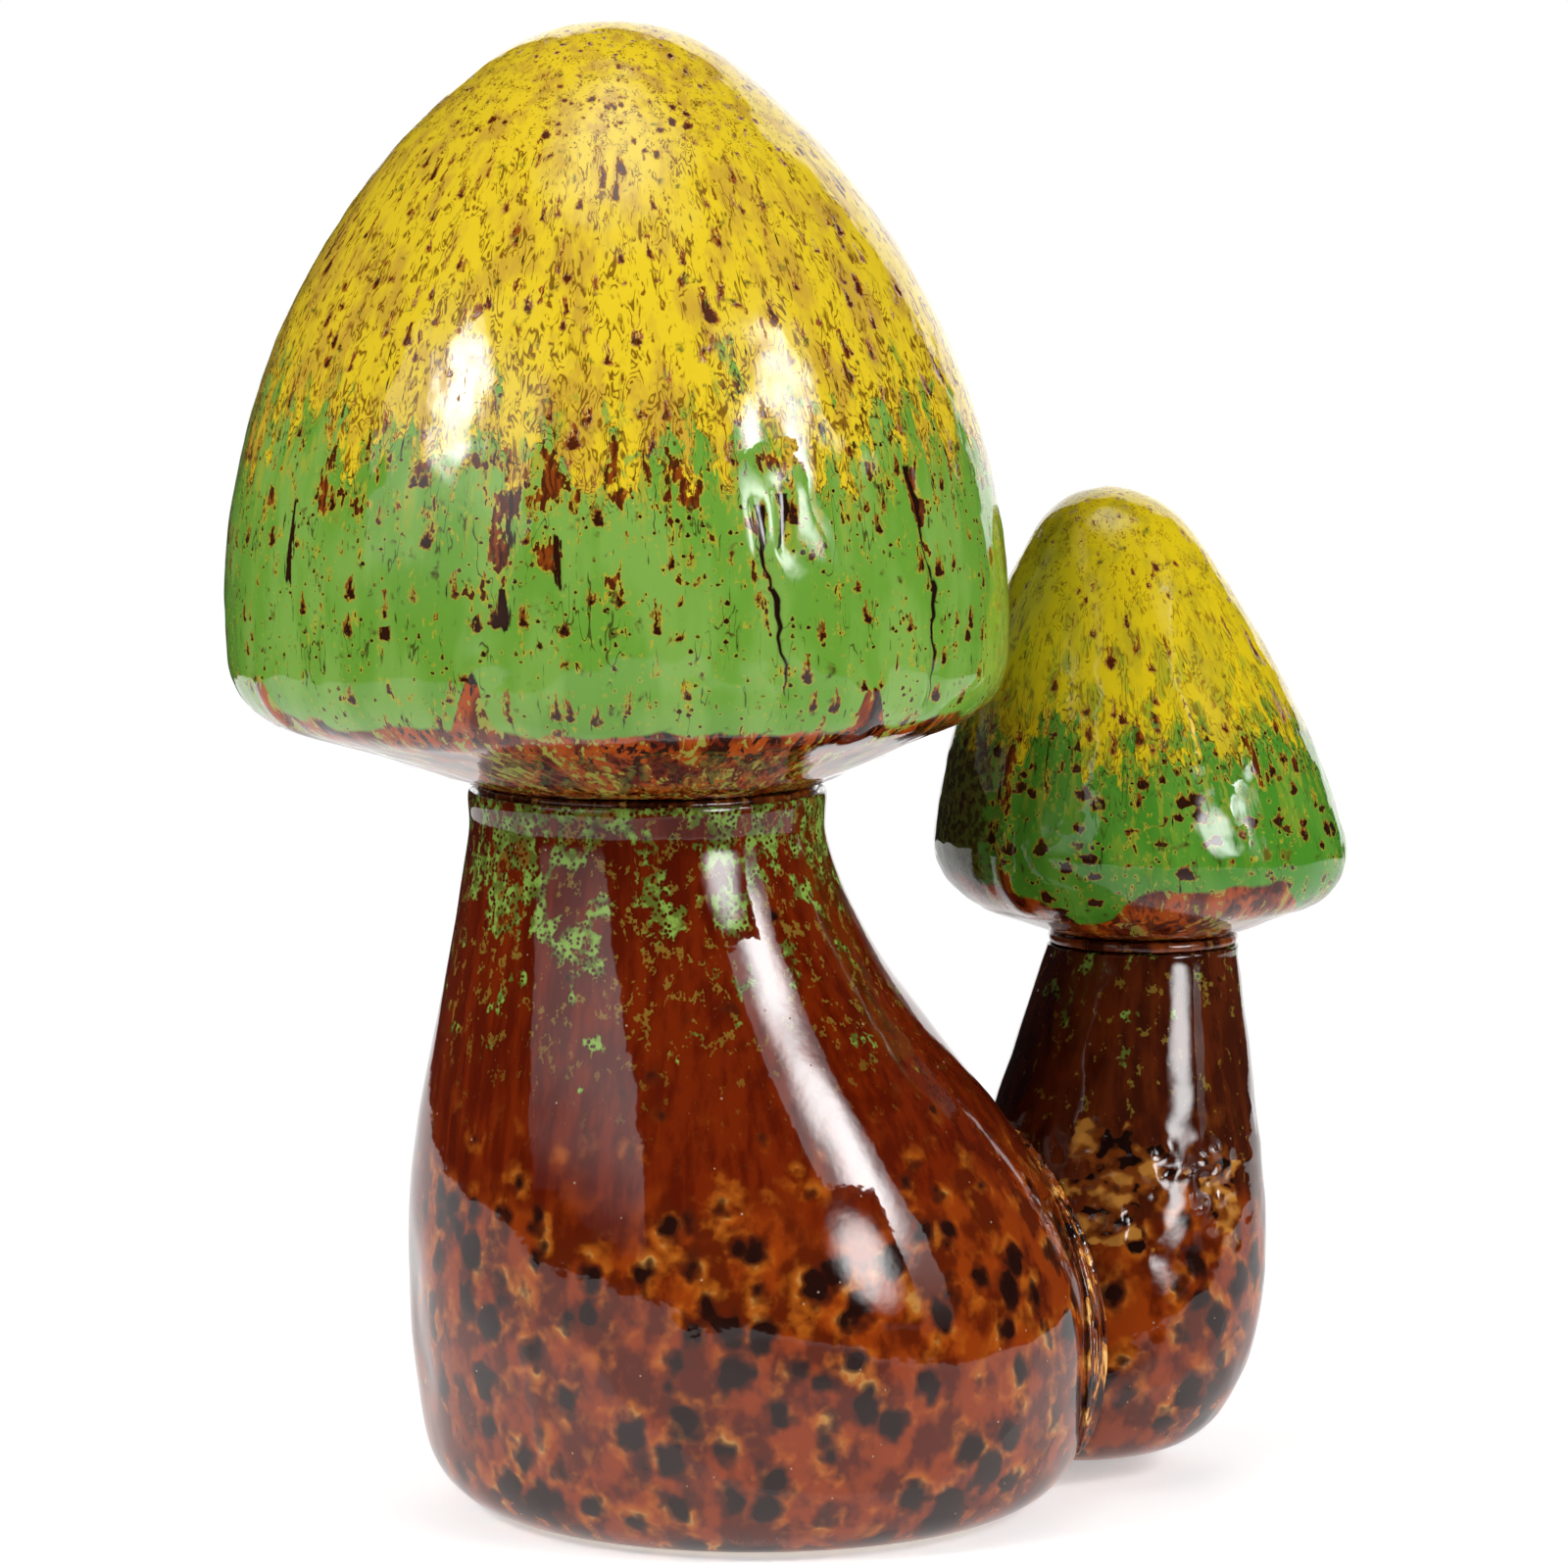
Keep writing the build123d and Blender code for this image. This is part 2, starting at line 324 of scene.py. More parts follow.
def stem_glaze(name, thick_tone, thin_tone, neck_height, foam_thin, mottle_height, offset):
    """Red-brown glaze: lacy green foam under the neck, tortoiseshell blotches below."""
    g = Glaze(name)
    place = g.vector("ADD", g.place, offset)
    under_neck = g.math("SUBTRACT", g.height, neck_height)

    # Deep red-brown that thins to orange in faint downward streaks
    streaks = g.noise(g.run(place, 0.04), 1.8, 4.0, 0.6)
    depth = g.noise(g.run(place, 0.4), 14.0, 2.0)
    brown = g.coat(thick_tone, thin_tone, g.step(g.total((streaks, 0.7), (depth, 0.3)), 0.42, 0.62))

    # Green foam in clumps, full of small dark holes and with bare eyes, that ran down from the cap
    hole = g.cells(g.swirl(place, 1.6, 0.25), 0.55)[0]
    lace = g.step(hole, 0.3, 0.5)
    clump = g.noise(g.swirl(g.run(place, 0.8), 2.6, 0.9), 4.2, 2.0)
    crumb = g.noise(g.swirl(g.run(place, 0.7), 1.8, 0.6), 1.2, 3.0, 0.6)
    thick = g.total(clump, (crumb, 0.5), (under_neck, 0.0115), (foam_thin, -1.0), -0.22)
    green = g.coat(srgb(84, 96, 34), srgb(122, 156, 66), g.step(g.noise(place, 1.6), 0.42, 0.58))
    scatter = g.step(g.total(crumb, (under_neck, 0.0035), (foam_thin, -0.4)), 0.51, 0.55)
    olive = g.both(scatter, g.step(under_neck, -36.0, -16.0), g.step(hole, 0.3, 0.5))
    brown = g.coat(brown, srgb(126, 104, 38), g.both(olive, 0.7))
    foam = g.both(g.step(thick, 0.44, 0.5), g.step(thick, 0.63, 0.58))
    brown = g.coat(brown, srgb(52, 20, 6), g.both(foam, 0.6))
    brown = g.coat(brown, green, g.both(foam, lace))

    # Tortoiseshell: a warmer ground, and soft black-brown blotches with some honey round them
    low = g.step(g.height, mottle_height + 7.0, mottle_height - 11.0)
    warmth = g.noise(g.run(place, 0.7), 3.4, 4.0)
    warm = g.coat(srgb(82, 25, 4), srgb(128, 49, 9), g.step(warmth, 0.42, 0.6))
    ground = g.total((g.noise(place, 6.0, 2.0), 1.6), low, -0.8)
    brown = g.coat(brown, warm, g.step(ground, 0.2, 0.75))
    blotch = g.cells(g.swirl(g.run(place, 0.8), 3.0, 0.6), 3.8)[0]
    uneven = g.noise(place, 1.8, 1.0)
    crowd = g.noise(place, 9.0, 1.0)
    edge = g.total(blotch, (uneven, 0.6), (crowd, -0.6), (low, -0.36), 0.36)
    glow = g.noise(place, 3.0, 3.0)
    near = g.step(g.height, mottle_height + 10.0, mottle_height)
    halo = g.both(g.step(edge, 0.82, 0.4), g.step(glow, 0.45, 0.62), near)
    brown = g.coat(brown, srgb(172, 92, 24), g.both(halo, 0.85))
    brown = g.coat(brown, srgb(222, 166, 84), g.both(g.step(edge, 0.54, 0.4), g.step(glow, 0.58, 0.7), near))
    brown = g.coat(brown, srgb(74, 26, 9), g.both(g.step(edge, 0.56, 0.34), 0.85))
    brown = g.coat(brown, srgb(30, 11, 7), g.step(edge, 0.43, 0.22))

    # Lumps of thick glaze: honey with black veins
    vein = g.noise(g.swirl(g.run(place, 1.3), 2.2, 0.9), 2.8, 1.0)
    lumpy = g.step(g.total(g.painted("lump"), (g.noise(place, 2.0, 2.0), 1.6), -0.8), 0.4, 0.6)
    brown = g.coat(brown, srgb(108, 52, 14), g.both(lumpy, 0.8))
    brown = g.coat(brown, srgb(178, 122, 50), g.both(lumpy, g.step(vein, 0.51, 0.63), 0.8))
    brown = g.coat(brown, srgb(24, 9, 5), g.both(lumpy, g.step(vein, 0.5, 0.42)))

    # Pinholes that burst in the kiln: each is sunk a little, and its pale colour is a painted glint
    pin, colour, _ = g.cells(place, 1.9)
    pinhole_and_glint = g.both(g.step(pin, 0.075, 0.05), g.step(g.split(colour)[1], 0.5, 0.55))
    brown = g.coat(brown, srgb(190, 160, 130), g.both(pinhole_and_glint, 0.6))

    # Pale clay where the foot was wiped
    bare = g.painted("bare")
    clay = g.coat(srgb(196, 174, 144), srgb(172, 148, 118), g.step(g.noise(place, 1.5, 4.0), 0.4, 0.6))
    brown = g.coat(brown, clay, bare)

    peel = g.noise(place, 2.0, 2.0)
    relief = g.math("SUBTRACT", g.math("MULTIPLY", peel, 0.2), pinhole_and_glint)
    return g.fire(brown, g.math("MULTIPLY_ADD", bare, 0.6, 0.04), relief, 0.1)


large_neck_height = 72.9
large_stem_inside = [
    # up from the drain hole to the bore of the spigot
    (1.1, 7.1, -6.7), (2.2, 7.0, -6.7), (3.4, 7.1, -6.7), (3.5, 9.0, -6.5), (3.6, 20.0, -6.0),
    (5.6, 26.5, -5.9), (11.0, 30.6, -5.9), (20.0, 31.3, -6.4), (38.0, 27.0, -10.3),
    (56.0, 18.4, -15.8), (66.0, 14.6, -17.5), (69.2, 13.2, -17.7), (69.6, 10.2, -17.7),
    (74.0, 10.0, -17.7), (78.3, 10.1, -17.7), (78.5, 10.6, -17.7), (78.5, 13.0, -17.7),
]
large_stem_outside = [
    # down from the spigot over the thin lip of the neck to the foot ring
    (78.2, 13.4, -17.7), (73.4, 13.5, -17.7), (72.95, 13.9, -17.7), (72.95, 17.2, -17.7),
    (73.2, 17.4, -17.7), (73.5, 17.7, -17.7), (73.45, 18.0, -17.7), (72.9, 18.1, -17.7),
    (72.1, 18.06, -17.7), (71.2, 17.96, -17.7), (70.2, 17.9, -17.7), (69.0, 17.98, -17.7),
    (67.0, 18.4, -17.6), (62.0, 19.65, -17.0),
    (56.0, 21.95, -15.8), (50.0, 24.8, -14.05), (44.0, 27.8, -12.1), (38.0, 30.5, -10.3),
    (32.0, 32.65, -8.6), (26.0, 34.15, -7.3), (20.0, 34.9, -6.4), (16.0, 34.95, -6.0),
    (12.0, 34.6, -5.8), (8.5, 34.0, -5.8), (6.2, 33.35, -5.9), (4.3, 32.5, -5.9),
    (2.8, 31.4, -5.9), (1.5, 29.9, -5.9), (0.5, 27.9, -5.9), (0.03, 25.4, -5.9),
    (0.0, 22.0, -5.9), (0.0, 16.4, -6.5), (0.1, 15.5, -6.7), (0.9, 15.3, -6.7),
    (1.0, 14.6, -6.7), (1.0, 7.8, -6.7),
]
stem = draw_rings(
    "large_stem_casting", large_stem_inside + large_stem_outside, segments=72, levels=2, closed=True
)
places = places_on(stem, large_stem_outside)
heights = places[1]
off_foot = np.clip((heights - 1.0) / 5.0, 0, 1)
ripple(stem, "stem_waves", 12.0, 0.3, off_foot)
swell(stem, "stem_dent", stroke(places, [(-78, 24), (-74, 16)], 5.0), -0.5)
swell(stem, "stem_run", stroke(places, [(-38, 20), (-36, 9)], 0.8), 0.25)
paint(stem, "bare", (heights < 0.3) | ((heights < 4.0) & (places[2] < 15.5)))
stem.data.materials.append(stem_glaze(
    "stem_glaze", thick_tone=srgb(76, 17, 1), thin_tone=srgb(102, 30, 3), neck_height=large_neck_height,
    foam_thin=-0.01, mottle_height=37.0, offset=(0, 0, 0),
))
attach(stem, "root")
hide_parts("large_stem")

# Large neck slip: a ring of clay slip that bonds the cap to the stem. It shrank a little back from
# the face of the neck, so it shows as a dark groove under the cap.
seat_height = 74.1
slip_ring = draw_rings(
    "large_neck_slip_ring",
    [
        (72.95, 13.7, -17.7), (72.95, 16.2, -17.7), (73.0, 16.9, -17.7), (73.25, 17.15, -17.7),
        (73.75, 17.15, -17.7), (74.0, 16.9, -17.7), (74.05, 16.2, -17.7), (74.05, 13.7, -17.7),
        (73.9, 13.55, -17.7), (73.1, 13.55, -17.7),
    ],
    segments=72, levels=2, closed=True,
)
ripple(slip_ring, "slip_waves", 3.0, 0.2, np.ones(len(slip_ring.data.vertices)))


def slip_glaze(name, streaks):
    """Clay slip under the stem's glaze: red-brown, run down in black and honey streaks."""
    g = Glaze(name)
    tone = g.noise(g.run(g.place, 0.3), 3.0, 3.0)
    body = g.coat(srgb(52, 16, 5), srgb(124, 56, 18), g.step(tone, 0.4, 0.6))
    broken = g.noise(g.swirl(g.run(g.place, 0.3), 2.0, 0.6), 1.3, 3.0)
    body = g.coat(body, srgb(188, 122, 46), g.both(g.step(broken, 0.555, 0.6), streaks))
    body = g.coat(body, srgb(226, 178, 96), g.both(g.step(broken, 0.61, 0.65), streaks))
    body = g.coat(body, srgb(22, 9, 6), g.both(g.step(broken, 0.45, 0.42), streaks))
    return g.fire(body, 0.05, g.noise(g.run(g.place, 0.5), 1.2, 3.0), 0.1)


slip_ring.data.materials.append(slip_glaze("neck_slip", streaks=0.4))
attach(slip_ring, "root")
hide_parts("large_neck_slip")

# Large cap: a hollow casting, three arcs turned round an upright axis, seated on the neck. A yellow
# glaze was poured over a green one, and both ran down to the rim and bared the brown under it.


def cap_rings(x, seat, radius, dome, crown, flank, rim, rim_height, lean, seat_x, bore, neck, wall):
    """Rings of a cap: inside its shell from the crown to the bore, and outside back to the crown.

    The outline is an arc over the top, one down the flank and one round the rim."""
    rim_r = radius - rim
    crown_z = dome - crown
    span = math.hypot(rim_r, crown_z)
    way_r, way_z = -rim_r / span, crown_z / span
    along = (span**2 + (flank - rim) ** 2 - (flank - crown) ** 2) / (2 * span)
    across = math.sqrt((flank - rim) ** 2 - along**2)
    flank_r = rim_r + way_r * along - way_z * across
    flank_z = way_z * along + way_r * across
    top_turn = math.atan2(crown_z - flank_z, -flank_r)
    low_turn = math.atan2(-flank_z, rim_r - flank_r)
    reach = rim_r - neck
    slope = math.atan2(rim_height, reach) - math.asin(rim / math.hypot(reach, rim_height))
    skirt_turn = slope - 0.5 * math.pi
    level = seat + rim_height

    def arc(middle_r, middle_z, size, turn):
        z = middle_z + size * math.sin(turn)
        return level + z, max(middle_r + size * math.cos(turn), 0.25), x + lean * z / dome

    flank_turns = [top_turn, low_turn + 0.6 * (top_turn - low_turn), low_turn]
    inside = [arc(0, crown_z, crown - wall, 0.5 * math.pi)]
    inside += [arc(flank_r, flank_z, flank - wall, turn) for turn in flank_turns]
    inside.append(arc(rim_r, 0, rim - wall, -0.9))
    for z, r in ((wall + 0.6, bore + 2.0), (wall, bore + 0.4), (wall - 0.6, bore), (0.6, bore)):
        inside.append((seat + z, r, seat_x))
    outside = [
        (seat + 0.03, bore + 0.3, seat_x), (seat + 0.04, neck - 0.6, seat_x), (seat + 0.2, neck, seat_x)
    ]
    touch_z, touch_r, _ = arc(rim_r, 0, rim, skirt_turn)
    for share in (0.2, 0.45, 0.7, 0.92):
        outside.append((
            seat + share * (touch_z - seat), neck + share * (touch_r - neck), seat_x + share * (x - seat_x)
        ))
    outside += [arc(rim_r, 0, rim, turn) for turn in np.linspace(skirt_turn, low_turn, 8)]
    outside += [arc(flank_r, flank_z, flank, turn) for turn in np.linspace(low_turn, top_turn, 22)[1:]]
    outside += [arc(0, crown_z, crown, turn) for turn in np.linspace(top_turn, 0.5 * math.pi, 10)[1:]]
    return inside, outside


def lay_flow(piece, outside, radius):
    """Keeps on every vertex how far round the cap and how far up its outline it lies, in mm."""
    angle, height, out = places_on(piece, outside)
    heights, radii, _ = np.array(outside).T
    lengths = np.concatenate([[0], np.cumsum(np.hypot(np.diff(heights), np.diff(radii)))])
    turn = np.radians(angle)
    reach = np.minimum(radius, 1.4 * out)
    way = np.stack([reach * np.cos(turn), reach * np.sin(turn), np.interp(height, heights, lengths)], 1)
    kept = piece.data.attributes.new("flow", "FLOAT_VECTOR", "POINT")
    kept.data.foreach_set("vector", np.ascontiguousarray(way, dtype=np.float32).ravel())


def cap_glaze(
    name, offset, yellow_end, ragged, green_end, yellow, cloudy, green, shade, specks, pools, drops, busy,
    marble, cracks,
):
    """Yellow over green over brown, run downwards, with brown specks drawn out along the run.

    The ends are heights in mm, the drops a spacing, width and tail for tears, and the rest shares."""
    g = Glaze(name)
    flow = g.vector("ADD", g.painted("flow", "Vector"), offset)
    dark = srgb(44, 20, 9)

    # Ragged fingers where the yellow ran over the green
    broad = g.noise(g.run(flow, 0.3), 7.0, 1.0)
    fingers = g.noise(g.swirl(g.run(flow, 0.2), 1.9, 0.45), 1.8, 2.0)
    tips = g.noise(g.swirl(g.run(flow, 0.4), 1.4, 0.5), 0.8, 3.0, 0.6)
    raggedness = g.total((broad, 16.0), (fingers, 22.0), -19.0)
    sweep = g.total(g.height, (raggedness, ragged), (g.painted("finger"), 7.0), -yellow_end)
    above = g.total(sweep, (tips, 13.0 * ragged * busy), -6.5 * ragged * busy)
    fringe = g.noise(g.run(g.swirl(flow, 1.5, 0.3), 0.2), 0.42, 3.0)

    # Green coat, with olive trails from the yellow, small dots, drops and thin squiggles
    tone = g.noise(g.run(flow, 0.3), 4.5, 3.0)
    colour = g.coat(green, shade, g.step(tone, 0.44, 0.62))
    veil = g.noise(g.run(g.swirl(flow, 2.0, 0.4), 0.12), 0.8, 3.0)
    trails = g.both(g.step(veil, 0.52, 0.6), g.step(above, -11.0, -1.0), 0.8 * busy)
    colour = g.coat(colour, srgb(160, 158, 46), trails)
    dots = g.tears(flow, 0.8, 0.15, 0.3, 0.6, 0.2)[0]
    crowd = g.step(g.noise(g.run(flow, 0.5), 2.6, 2.0), 0.44, 0.53)
    colour = g.coat(colour, srgb(160, 160, 54), g.both(g.step(dots, 0.18, 0.06), crowd, 0.6))
    colour = g.coat(colour, dark, g.both(g.step(dots, 0.07, -0.02), crowd))
    drop, chance, up = g.tears(g.swirl(flow, 1.8, 0.4), *drops, 0.7, 1.6)
    kept = g.step(chance, 0.2, 0.24)
    colour = g.coat(colour, srgb(160, 152, 50), g.both(g.step(drop, 0.26, 0.08), kept, 0.7 * busy))
    colour = g.coat(colour, srgb(126, 66, 20), g.both(g.step(drop, 0.12, -0.02), kept))
    colour = g.coat(colour, dark, g.both(g.step(g.total(drop, (up, 0.22)), 0.08, -0.08), kept))
    wisp = g.noise(g.swirl(g.run(flow, 0.22), 1.5, 0.35), 1.2, 2.0)
    broken = g.step(g.noise(g.run(flow, 0.5), 2.6, 2.0), 0.53, 0.6)
    colour = g.coat(colour, srgb(54, 46, 16), g.both(g.line(wisp, 0.5, 0.014), broken, 0.85 * busy))
    dashes, chance, _ = g.tears(g.swirl(flow, 1.2, 0.3), 0.85, 0.14, 1.3, 0.7, 0.5)
    dashed = g.both(g.step(dashes, 0.06, -0.06), g.step(above, -9.0, -1.0), g.step(chance, 0.3, 0.35))
    colour = g.coat(colour, srgb(70, 36, 12), dashed)

    # Rust pools with dark broken outlines just under the yellow
    belt = g.both(g.step(above, -8.0, -2.0), g.step(above, 4.0, 0.0))
    pool = g.noise(g.swirl(g.run(flow, 0.6), 2.0, 0.8), 1.5, 3.0, 0.55)
    pool = g.total(pool, (belt, pools), (g.painted("rust"), 0.24), (fringe, 0.5), -0.42)
    colour = g.coat(colour, srgb(178, 156, 44), g.both(g.step(pool, 0.47, 0.54), 0.8))
    rust = g.coat(srgb(126, 58, 17), srgb(72, 30, 12), g.step(fringe, 0.44, 0.6))
    colour = g.coat(colour, rust, g.step(pool, 0.55, 0.59))
    colour = g.coat(colour, dark, g.both(g.line(pool, 0.57, 0.03), g.step(fringe, 0.47, 0.55), 0.95))

    # Yellow coat: mustard clouds, hooked lines, and specks that are dark below and frayed above
    cloud = g.noise(g.run(flow, 0.5), 4.0, 4.0, 0.6)
    gold = g.coat(yellow, cloudy, g.step(cloud, 0.46, 0.64))
    marbled = g.noise(g.swirl(g.run(flow, 0.5), 2.2, 1.0), 1.5, 3.0)
    gold = g.coat(gold, shade, g.both(g.step(marbled, 0.5, 0.62), g.step(above, 17.0, 3.0), marble))
    hooked = g.noise(g.swirl(g.swirl(g.run(flow, 0.36), 2.4, 1.0), 0.8, 0.22), 1.5, 2.0)
    hooks = g.math("FRACT", g.math("MULTIPLY", hooked, 9.0))
    patchy = g.noise(g.run(flow, 0.5), 1.5, 3.0)
    patchy = g.step(g.total(patchy, (g.step(above, 18.0, 1.0), 0.08)), 0.49, 0.58)
    gold = g.coat(gold, srgb(112, 74, 16), g.both(g.line(hooks, 0.5, 0.25), patchy, 0.9 * busy))
    bent = g.swirl(g.swirl(flow, 3.2, 0.8), 0.9, 0.18)
    flecks, chance, _ = g.tears(bent, 1.1, 0.16, 1.3, 1.2, 1.2)
    flecked = g.both(g.step(flecks, 0.08, -0.04), g.step(chance, 0.3, 0.35), 0.9 * busy)
    gold = g.coat(gold, srgb(112, 58, 16), flecked)
    comets = g.tears(bent, 1.9, 0.34, 2.2, 1.1, 2.4)[0]
    lower = g.step(above, 30.0, 2.0)
    comets = g.total(comets, (g.noise(flow, 5.0, 1.0), 0.8), (lower, -0.06), -0.4 - specks)
    gold = g.coat(gold, srgb(160, 112, 30), g.both(g.step(comets, 0.24, 0.04), 0.7))
    strands = g.noise(g.run(bent, 0.1), 0.2, 2.0)
    speck = g.coat(srgb(138, 68, 16), srgb(70, 30, 9), g.step(g.total(strands, (comets, -0.5)), 0.48, 0.57))
    gold = g.coat(gold, speck, g.step(comets, 0.06, -0.05))
    island = g.noise(g.swirl(g.run(flow, 0.45), 1.6, 0.6), 1.4, 3.0)
    pierced = g.both(g.step(island, 0.53, 0.57), g.step(above, 6.0, 1.0))
    colour = g.coat(colour, gold, g.both(g.step(above, -0.3, 0.5), g.math("SUBTRACT", 1.0, pierced)))

    # Thin dark flow lines nested round the fingers
    nest = g.math("FRACT", g.math("MULTIPLY", g.total(sweep, (tips, 3.0)), 0.7))
    near_edge = g.both(g.step(above, -4.0, -0.5), g.step(above, 7.0, 1.0), g.step(fringe, 0.42, 0.52))
    colour = g.coat(colour, srgb(60, 40, 12), g.both(g.line(nest, 0.5, 0.17), near_edge, 0.9))

    # Brown coming up through the green as a darker mottle, in patches all over, and most on the side turned
    # to the other mushroom, where the mottle is also painted shade of the large cap
    mottle_and_shade = g.total(g.painted("mottle_and_shade"), (g.noise(g.swirl(g.place, 2.0, 0.6), 1.5, 4.0), 2.4), -1.2)
    mottle = g.coat(srgb(58, 34, 12), srgb(92, 96, 36), g.step(g.noise(g.place, 0.9, 3.0), 0.44, 0.58))
    colour = g.coat(colour, mottle, g.both(g.step(mottle_and_shade, 0.3, 0.6), 0.9))

    # Dark runs, and the lines of the cracks
    soot = g.total(g.painted("soot"), (g.noise(g.run(flow, 0.12), 0.35, 3.0), 2.4), -1.2)
    colour = g.coat(colour, srgb(40, 17, 8), g.step(soot, 0.36, 0.6))
    for top, low_end, width in cracks:
        colour = g.coat(colour, srgb(30, 14, 8), g.fissure(flow, top, low_end, width))

    # Brown under the rim, with flecks of the green and yellow
    lip = g.noise(g.run(flow, 0.3), 5.0, 2.0)
    below = g.total(g.height, (lip, 4.0), (g.painted("drip"), -6.0), -2.0 - green_end)
    bare = g.step(below, 0.25, -0.25)
    smear = g.swirl(g.run(flow, 0.35), 2.0, 0.7)
    brown = g.coat(srgb(88, 26, 5), srgb(160, 68, 14), g.step(g.noise(smear, 2.2, 3.0), 0.4, 0.6))
    fleck = g.total(g.noise(smear, 0.8, 3.0, 0.6), (g.noise(smear, 3.0, 2.0), 0.7), -0.35)
    brown = g.coat(brown, srgb(146, 148, 60), g.both(g.step(fleck, 0.58, 0.62), busy))
    brown = g.coat(brown, srgb(26, 9, 4), g.both(g.step(fleck, 0.45, 0.38), busy))
    colour = g.coat(colour, brown, bare)

    peel = g.noise(g.run(flow, 0.5), 1.4, 3.0)
    pits = g.both(g.step(comets, 0.1, -0.1), g.step(above, 0.0, 1.0))
    relief = g.total((peel, 0.3), (pits, -0.35))
    return g.fire(colour, 0.05, relief, 0.1)


cap_inside, cap_outside = cap_rings(
    x=-20.9, seat=seat_height, radius=38.95, dome=62.6, crown=20.0, flank=69.0, rim=7.2, rim_height=13.3,
    lean=-0.8, seat_x=-17.7, bore=13.8, neck=17.6, wall=3.5,
)
cap = draw_rings("large_cap_casting", cap_inside + cap_outside, segments=96, levels=2, closed=False)
lay_flow(cap, cap_outside, 30.0)
places = places_on(cap, cap_outside)
cracks = [
    [(22.1, 104.5), (23.7, 96.7), (25.7, 86.4)],
    [(26.4, 105.5), (25.5, 100.3)],
    [(49.7, 107.5), (52.7, 96.5), (52.9, 84.3)],
    [(-150.0, 106.0), (-147.0, 94.0)],
    [(128.0, 104.0), (126.0, 90.0)],
]
groove = strokes(places, cracks, 0.6)
ridges = [
    [(19.3, 111.5), (19.9, 105.0), (20.6, 100.5)], [(28.3, 110.5), (30.5, 104.0), (33.4, 98.5)],
    [(47.0, 108.0), (49.8, 98.0)], [(53.5, 107.0), (56.0, 97.0)],
    [(-153.0, 107.0), (-150.5, 94.0)], [(-146.5, 107.0), (-143.5, 95.0)],
    [(125.0, 106.0), (123.0, 92.0)], [(131.0, 106.0), (129.0, 91.0)],
]
ridge = strokes(places, ridges, 2.8)
crack_lines = [
    (path[number], path[number + 1], 0.42 if number == 0 else 0.26)
    for path in cracks for number in range(len(path) - 1)
]
thin_runs = [[(-13.6, 105.0), (-13.9, 98.5)], [(-7.0, 101.5), (-6.6, 97.5)], [(-53.0, 104.0), (-53.0, 99.0)]]
thick_ends = [[(-14.6, 96.5), (-14.5, 93.5)], [(-53.0, 98.5), (-53.1, 96.8)], [(170.0, 100.0), (170.5, 96.0)]]
run_lines = np.maximum(strokes(places, thin_runs, 0.35), strokes(places, thick_ends, 0.7))
pools = [
    [(-8.6, 108.0), (-8.0, 105.0)], [(1.4, 108.5), (2.0, 106.0)], [(11.5, 107.5), (12.0, 105.5)],
    [(-47.0, 106.5), (-46.0, 104.0)], [(-8.2, 101.0), (-8.2, 99.5)], [(-15.4, 104.8), (-14.9, 96.5)],
    [(0.0, 98.0), (0.0, 96.8)], [(49.5, 106.0), (51.5, 100.0)], [(90.0, 107.0), (90.0, 101.0)],
    [(21.0, 103.5), (22.0, 98.5)],
    [(150.0, 106.0), (150.0, 102.0)], [(-100.0, 106.0), (-101.0, 99.0)],
]
rust_pools = strokes(places, pools, 1.4)
yellow_fingers = [
    [(-13.4, 112.0), (-13.4, 106.0)], [(-2.8, 112.0), (-2.8, 107.0)], [(18.0, 112.0), (18.0, 106.0)],
    [(64.0, 112.0), (64.0, 106.0)], [(-70.0, 112.0), (-70.0, 106.0)],
]
finger_runs = strokes(places, yellow_fingers, 1.2)
drips = [[(-18.7, 90.0), (-20.0, 84.0)], [(40.0, 86.0), (41.0, 82.0)], [(-62.0, 86.0), (-61.0, 82.0)]]
rim_drips = strokes(places, drips, 1.4)
all_over = np.ones(len(groove))
ripple(cap, "cap_waves", 9.0, 0.35, all_over)
ripple(cap, "cap_peel", 2.5, 0.12, all_over)
swell(cap, "crack_ridge", ridge, 0.36)
swell(cap, "crack_groove", groove, -0.4)
swell(cap, "rim_drip", rim_drips, 0.4)
paint(cap, "soot", run_lines)
paint(cap, "rust", rust_pools)
paint(cap, "finger", finger_runs)
paint(cap, "drip", rim_drips)
paint(cap, "mottle_and_shade", np.zeros(len(groove)))
cap.data.materials.append(cap_glaze(
    "large_cap_glaze", offset=(0, 0, 0), yellow_end=110.6, ragged=1.0, green_end=82.6,
    yellow=srgb(216, 187, 36), cloudy=srgb(192, 156, 48), green=srgb(98, 147, 49), shade=srgb(117, 159, 68),
    specks=0.0, pools=0.12, drops=(1.8, 0.36, 1.9), busy=1.0, marble=0.0, cracks=crack_lines,
))
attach(cap, "root")
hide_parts("large_cap")

